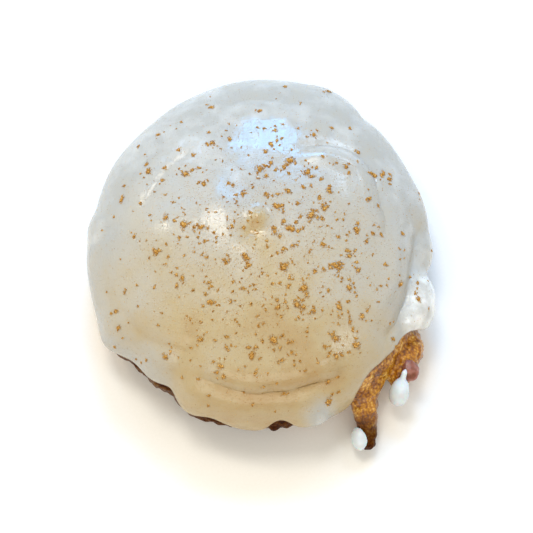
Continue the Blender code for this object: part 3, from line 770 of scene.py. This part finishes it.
# %% One mesh for each kind of grain
def ball_template(subdivisions):
    """Corners and sides of an even ball: 0 gives an octahedron, 1 and 2 rounder ones."""
    if subdivisions == 0:
        corners = [(1, 0, 0), (0, 1, 0), (-1, 0, 0), (0, -1, 0), (0, 0, 1), (0, 0, -1)]
        sides = []
        for a, b in ((0, 1), (1, 2), (2, 3), (3, 0)):
            sides += [(a, b, 4), (b, a, 5)]
        return np.array(corners, float), np.array(sides)
    bm = bmesh.new()
    bmesh.ops.create_icosphere(bm, subdivisions=subdivisions, radius=1.0)
    corners = np.array([v.co[:] for v in bm.verts])
    sides = np.array([[v.index for v in f.verts] for f in bm.faces])
    bm.free()
    return corners, sides


def dented_balls(listed, subdivisions, dents, draw):
    """Points and faces of every ball in the list, each dented and turned its own way."""
    corners, sides = ball_template(subdivisions)
    points, faces = [], []
    for index, (at, radius) in enumerate(listed):
        turned = corners * draw.uniform(1 - dents, 1 + dents / 2, (len(corners), 1))
        spin = Matrix.Rotation(draw.uniform(*ANY_TURN), 3, Vector(draw.normal(size=3)).normalized())
        points.append(turned @ np.array(spin) * radius + np.array(at))
        faces.append(sides + index * len(corners))
    return np.concatenate(points), np.concatenate(faces)


chance = np.random.default_rng(CINNAMON_SEED)
kinds = (  # name, balls, subdivisions, how deep the dents are
    ("cinnamon_lumps", lumps, 2, 0.3),
    ("cinnamon_grains", grains, 1, 0.35),
    ("cinnamon_dust", dust, 0, 0.4),
)
cinnamon = [
    mesh_object(name, *dented_balls(listed, cuts, dents, chance))
    for name, listed, cuts, dents in kinds
]
print("cinnamon meshes:", [len(kind.data.polygons) for kind in cinnamon], "triangles")

# %% [markdown]
# ## Sugar icing as a material
#
# Set icing is fine sugar in a little water and fat. Light goes in, scatters between the crystals and comes
# out a millimetre or two away, so its shadows are soft and it never looks chalky. The skin is smooth and
# shiny. Where the coat is thin the fried dough shows through as a warm tan, more so towards the near side,
# where the icing ran furthest; the near side's tan also stands for painted warm shade. Subsurface
# scattering gives the milky depth. The colour runs from white over cream to tan, led by how thin the coat
# is, by painted shade in the creases, by painted highlights on the lip and the bead, and by large soft noise.


# %% A new finish with its shader
def new_finish(name):
    material = bpy.data.materials.new(name)
    material.use_nodes = True
    tree = material.node_tree
    return material, tree, tree.nodes["Principled BSDF"]


def icing_finish():
    """Sugar icing, poured and set: milky, smooth and shiny."""
    material, tree, shader = new_finish("sugar_icing")
    place = add_node(tree, "ShaderNodeTexCoord").outputs["Object"]
    thin_and_painted_light = add_node(tree, "ShaderNodeAttribute", {"attribute_name": "thinness_and_painted_light"})
    clouds = add_node(tree, "ShaderNodeTexNoise", {"Scale": per_size(5.0), "Detail": 4.0}, {"Vector": place})
    shown = add_node(tree, "ShaderNodeMath", {"operation": "MULTIPLY_ADD", 1: 0.24},
                     {0: clouds.outputs["Fac"], 2: thin_and_painted_light.outputs["Fac"]})
    # The whitest stop also shows the painted highlights, and the tan stops the painted shade.
    creams = add_node(  # from a thick white coat to a thin one with tan dough behind it
        tree, "ShaderNodeValToRGB", None, {"Fac": shown.outputs[0]},
        [(0.09, linear("#f6f8f8")), (0.15, linear("#cfcfcb")), (0.25, linear("#b9b8b3")),
         (0.45, linear("#bfb6a4")), (0.66, linear("#bfab84")), (0.9, linear("#b18d58"))],
    )
    tree.links.new(creams.outputs["Color"], shader.inputs["Base Color"])
    dimples = add_node(tree, "ShaderNodeTexNoise", {"Scale": per_size(1.2), "Detail": 5.0}, {"Vector": place})
    crystals = add_node(tree, "ShaderNodeTexNoise", {"Scale": per_size(0.5), "Detail": 2.0},
                        {"Vector": place})
    coarse = add_node(tree, "ShaderNodeMapRange", {"From Min": 0.55, "From Max": 0.72},
                      {"Value": crystals.outputs["Fac"]})
    fine = add_node(tree, "ShaderNodeBump", {"Strength": 0.8, "Distance": 0.07 * MM},
                    {"Height": coarse.outputs["Result"]})
    bump = add_node(tree, "ShaderNodeBump", {"Strength": 0.6, "Distance": 0.09 * MM},
                    {"Height": dimples.outputs["Fac"], "Normal": fine.outputs["Normal"]})
    tree.links.new(bump.outputs["Normal"], shader.inputs["Normal"])
    shader.inputs["Roughness"].default_value = 0.15
    shader.inputs["IOR"].default_value = 1.48
    shader.inputs["Subsurface Weight"].default_value = 0.3
    shader.inputs["Subsurface Radius"].default_value = (1.0, 0.8, 0.55)
    shader.inputs["Subsurface Scale"].default_value = 1.6 * MM
    return material


icing.data.materials.append(icing_finish())
print("icing finish is on", icing.name)

# %% [markdown]
# ## Fried crust as a material
#
# The crust was sealed by hot fat, so it is brown, oily and full of tiny blisters. Each blister's crown is
# painted lighter, as a painted glint, and the valleys round it are painted dark, as painted shade. A cell
# pattern of just under a millimetre makes the blisters, and the same pattern drives both the colour and the
# bump, so the real highlights sit where the painted light spots are.


# %% Fried dough crust
def crust_finish():
    """Fried dough crust: golden brown, blistered and shiny with oil."""
    material, tree, shader = new_finish("fried_crust")
    place = add_node(tree, "ShaderNodeTexCoord").outputs["Object"]
    blisters = add_node(tree, "ShaderNodeTexVoronoi", {"Scale": per_size(0.9), "feature": "F1"},
                        {"Vector": place})
    patches = add_node(tree, "ShaderNodeTexNoise", {"Scale": per_size(4.5), "Detail": 4.0}, {"Vector": place})
    crumbs = add_node(tree, "ShaderNodeTexNoise", {"Scale": per_size(0.6), "Detail": 3.0}, {"Vector": place})
    painted_crown_light = add_node(tree, "ShaderNodeMath", {"operation": "MULTIPLY_ADD", 1: -0.55, 2: 0.95},
                     {0: blisters.outputs["Distance"]})
    shade = add_node(tree, "ShaderNodeMath", {"operation": "MULTIPLY"},
                     {0: painted_crown_light.outputs[0], 1: patches.outputs["Fac"]})
    speck = add_node(tree, "ShaderNodeMath", {"operation": "MULTIPLY_ADD", 1: 0.35},
                     {0: crumbs.outputs["Fac"], 2: shade.outputs[0]})
    # Painted light: the blisters' crowns are painted light, as glints, and their valleys dark, as shade.
    browns = add_node(
        tree, "ShaderNodeValToRGB", None, {"Fac": speck.outputs[0]},
        [(0.3, linear("#4a2806")), (0.44, linear("#985806")), (0.58, linear("#cd8c12")),
         (0.78, linear("#fbd878"))],
    )
    shade_and_tip = add_node(tree, "ShaderNodeAttribute", {"attribute_name": "painted_shade_and_dark_tip"})
    # Painted shade along the icing and on the rim, and a darker tendril tip.
    darker = add_node(tree, "ShaderNodeMix",
                      {"data_type": "RGBA", "blend_type": "MULTIPLY", 7: linear("#6e5a40")},
                      {0: shade_and_tip.outputs["Fac"], 6: browns.outputs["Color"]})
    tree.links.new(darker.outputs[2], shader.inputs["Base Color"])
    bump = add_node(tree, "ShaderNodeBump", {"Strength": 1.0, "Distance": 0.6 * MM},
                    {"Height": speck.outputs[0]})
    tree.links.new(bump.outputs["Normal"], shader.inputs["Normal"])
    gloss = add_node(tree, "ShaderNodeMath", {"operation": "MULTIPLY_ADD", 1: -0.5, 2: 0.55},
                     {0: shade_and_tip.outputs["Fac"]})  # where shade is painted, and at the tip, the crust is nearly matt
    tree.links.new(gloss.outputs[0], shader.inputs["Coat Weight"])
    tree.links.new(gloss.outputs[0], shader.inputs["Specular IOR Level"])
    shader.inputs["Roughness"].default_value = 0.38
    shader.inputs["IOR"].default_value = 1.47
    shader.inputs["Coat Roughness"].default_value = 0.15
    return material


crust.data.materials.append(crust_finish())
print("crust finish is on", crust.name)

# %% [markdown]
# ## Cinnamon, fruit and white drips
#
# Ground cinnamon is dry bark powder, orange brown, and no two grains have the same shade, so noise a
# little smaller than a clump tints them. Cooked fruit is moist and half clear, pinkish brown. The drips are
# the same icing, but thick, so no dough shows through and they stay white.


# %% Ground cinnamon
def cinnamon_finish():
    """Ground cinnamon bark: matt, orange brown, in small random tints."""
    material, tree, shader = new_finish("ground_cinnamon")
    place = add_node(tree, "ShaderNodeTexCoord").outputs["Object"]
    tints = add_node(tree, "ShaderNodeTexNoise", {"Scale": per_size(0.3), "Detail": 2.0}, {"Vector": place})
    browns = add_node(
        tree, "ShaderNodeValToRGB", None, {"Fac": tints.outputs["Fac"]},
        [(0.34, linear("#85520f")), (0.5, linear("#be8833")), (0.66, linear("#e9bf70"))],
    )
    tree.links.new(browns.outputs["Color"], shader.inputs["Base Color"])
    shader.inputs["Roughness"].default_value = 0.7
    shader.inputs["IOR"].default_value = 1.45
    return material


cinnamon_brown = cinnamon_finish()
for kind in cinnamon:
    kind.data.materials.append(cinnamon_brown)
print("cinnamon finish is on", [kind.name for kind in cinnamon])


# %% Cooked fruit and thick white icing
def fruit_finish():
    """Cooked fruit: moist, half clear and pinkish brown."""
    material, tree, shader = new_finish("cooked_fruit")
    place = add_node(tree, "ShaderNodeTexCoord").outputs["Object"]
    flesh = add_node(tree, "ShaderNodeTexNoise", {"Scale": per_size(2.4), "Detail": 3.0}, {"Vector": place})
    tones = add_node(
        tree, "ShaderNodeValToRGB", None, {"Fac": flesh.outputs["Fac"]},
        [(0.35, linear("#7a442f")), (0.6, linear("#a4695a")), (0.75, linear("#bc8b7f"))],
    )
    tree.links.new(tones.outputs["Color"], shader.inputs["Base Color"])
    shader.inputs["Roughness"].default_value = 0.3
    shader.inputs["Subsurface Weight"].default_value = 0.3
    shader.inputs["Subsurface Scale"].default_value = 1.5 * MM
    return material


def drip_finish():
    """Thick sugar icing, set in a drop: white and glossy."""
    material, tree, shader = new_finish("white_drip")
    place = add_node(tree, "ShaderNodeTexCoord").outputs["Object"]
    clouds = add_node(tree, "ShaderNodeTexNoise", {"Scale": per_size(3.0), "Detail": 2.0}, {"Vector": place})
    whites = add_node(
        tree, "ShaderNodeValToRGB", None, {"Fac": clouds.outputs["Fac"]},
        [(0.3, linear("#d5e0e6")), (0.7, linear("#e3edf4"))],
    )
    tree.links.new(whites.outputs["Color"], shader.inputs["Base Color"])
    shader.inputs["Roughness"].default_value = 0.2
    shader.inputs["IOR"].default_value = 1.48
    shader.inputs["Subsurface Weight"].default_value = 0.35
    shader.inputs["Subsurface Scale"].default_value = 2.0 * MM
    return material


chunk.data.materials.append(fruit_finish())
white = drip_finish()
for piece in (drip, tendril_drip):
    piece.data.materials.append(white)
print("fruit and drips are finished")

# %% [markdown]
# ## Joining the frame
#
# Each piece hides the solid it stands for and moves with a body. A doughnut has no joints, so everything
# rides on its one body.

# %% Hide the solids and hang each piece on the body
for piece, node, slot in (
    (icing, "icing", "sugar_icing"),
    (crust, "dough", "fried_crust"),
    (chunk, "fruit_chunk", "cooked_fruit"),
    (drip, "icing_drip", "set_drip"),
    (tendril_drip, "tendril_drip", "set_drip"),
):
    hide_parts(node)
    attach(piece, "root")
for kind in cinnamon:
    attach(kind, "root")
print("pieces tied to the frame")

# %% [markdown]
# ## A table, a window and a camera
#
# The doughnut lies on a plain pale surface. A window behind it, in three panes, gives the cool reflections
# across the far side of the icing. Two warm lamps above give the soft bright spots near its middle, a cool
# one in front lights the lip, and the pale walls fill the sides. On a glossy dome each light shows as its own
# small picture, so every lamp is placed by the direction that its reflection comes from. The camera looks
# steeply down, as a person does who stands at the table.

# %% The pale surface
floor_mesh = bpy.data.meshes.new("floor")
floor_bm = bmesh.new()
bmesh.ops.create_grid(floor_bm, x_segments=2, y_segments=2, size=1.5)
floor_bm.to_mesh(floor_mesh)
floor_bm.free()
floor = bpy.data.objects.new("floor", floor_mesh)
bpy.context.scene.collection.objects.link(floor)
paper, paper_tree, paper_shader = new_finish("pale_board")
fibres = add_node(paper_tree, "ShaderNodeTexNoise", {"Scale": per_size(0.8)},
                  {"Vector": add_node(paper_tree, "ShaderNodeTexCoord").outputs["Object"]})
tone = add_node(paper_tree, "ShaderNodeValToRGB", None, {"Fac": fibres.outputs["Fac"]},
                [(0.0, linear("#f4f4f3")), (1.0, linear("#fafafa"))])
paper_tree.links.new(tone.outputs["Color"], paper_shader.inputs["Base Color"])
paper_shader.inputs["Roughness"].default_value = 0.9
floor_mesh.materials.append(paper)
print("floor laid at z = 0")


# %% Light from a window and some lamps
LIT_POINT = Vector((0, 0, 20)) * MM


def soft_light(name, toward, distance, size, brightness, colour):
    """A rectangular light in that direction from the doughnut. Its brightness is 1 for sunlit white paper."""
    lamp = bpy.data.lights.new(name, "AREA")
    lamp.shape = "RECTANGLE"
    lamp.size, lamp.size_y = size
    lamp.energy = brightness * math.pi * size[0] * size[1]
    lamp.color = linear(colour)[:3]
    made = bpy.data.objects.new(name, lamp)
    bpy.context.scene.collection.objects.link(made)
    made.location = LIT_POINT + Vector(toward).normalized() * distance
    made.rotation_euler = (LIT_POINT - made.location).to_track_quat("-Z", "Y").to_euler()


LIGHTS = (  # name, direction, distance, size, brightness, colour
    ("window", (0.02, 0.70, 0.715), 0.9, (0.25, 0.18), 25.0, "#50b2fa"),
    ("window_at_the_left", (-0.36, 0.70, 0.62), 0.9, (0.10, 0.16), 9.0, "#8cc6ff"),
    ("window_at_the_right", (0.34, 0.62, 0.70), 0.9, (0.16, 0.16), 11.0, "#c4e0ff"),
    ("far_wall", (-0.55, 0.6, 0.65), 1.2, (0.8, 0.8), 1.15, "#fdf7ea"),
    ("lamp_over_the_table", (-0.16, 0.33, 0.93), 1.0, (0.27, 0.27), 13.0, "#fff8ea"),
    ("lamp_at_the_left", (-0.50, 0.38, 0.78), 1.0, (0.10, 0.12), 22.0, "#fff3dc"),
    ("right_wall", (0.9, 0.15, 0.5), 1.1, (0.5, 0.5), 1.1, "#f4f7ff"),
    ("lamp_in_front", (0.58, -0.38, 0.72), 1.0, (0.16, 0.16), 7.0, "#e6f2ff"),
    ("near_wall", (-0.1, -0.75, 0.7), 1.1, (1.0, 0.6), 2.2, "#fff8ec"),
)
for light in LIGHTS:
    soft_light(*light)

world = bpy.data.worlds.new("room")
bpy.context.scene.world = world
world.use_nodes = True
world.node_tree.nodes["Background"].inputs["Color"].default_value = linear("#fff6e2")
world.node_tree.nodes["Background"].inputs["Strength"].default_value = 0.5
bpy.context.scene.view_settings.view_transform = "Standard"
print(len(LIGHTS), "lights in a pale room")

# %% The camera
CAMERA_HEIGHT_ANGLE = math.radians(70)
CAMERA_DISTANCE = 0.45
LENS, SENSOR_WIDTH, NEAREST_SEEN = 100, 36, 0.01
MIDDLE_HEIGHT, AIM_RIGHT, AIM_DOWN = 16, 2.1, 6.1  # millimetres; the doughnut stands a little off the centre
camera_data = bpy.data.cameras.new("camera")
camera_data.lens, camera_data.sensor_width = LENS, SENSOR_WIDTH
camera_data.clip_start = NEAREST_SEEN
camera = bpy.data.objects.new("camera", camera_data)
bpy.context.scene.collection.objects.link(camera)
back = Vector((0, -math.cos(CAMERA_HEIGHT_ANGLE), math.sin(CAMERA_HEIGHT_ANGLE)))
up = Vector((0, math.sin(CAMERA_HEIGHT_ANGLE), math.cos(CAMERA_HEIGHT_ANGLE)))
aim = Vector((0, 0, MIDDLE_HEIGHT)) * MM + Vector((AIM_RIGHT, 0, 0)) * MM - up * AIM_DOWN * MM
camera.location = aim + back * CAMERA_DISTANCE
camera.rotation_euler = (math.pi / 2 - CAMERA_HEIGHT_ANGLE, 0, 0)
bpy.context.scene.camera = camera
print("camera at", [round(v, 3) for v in camera.location])
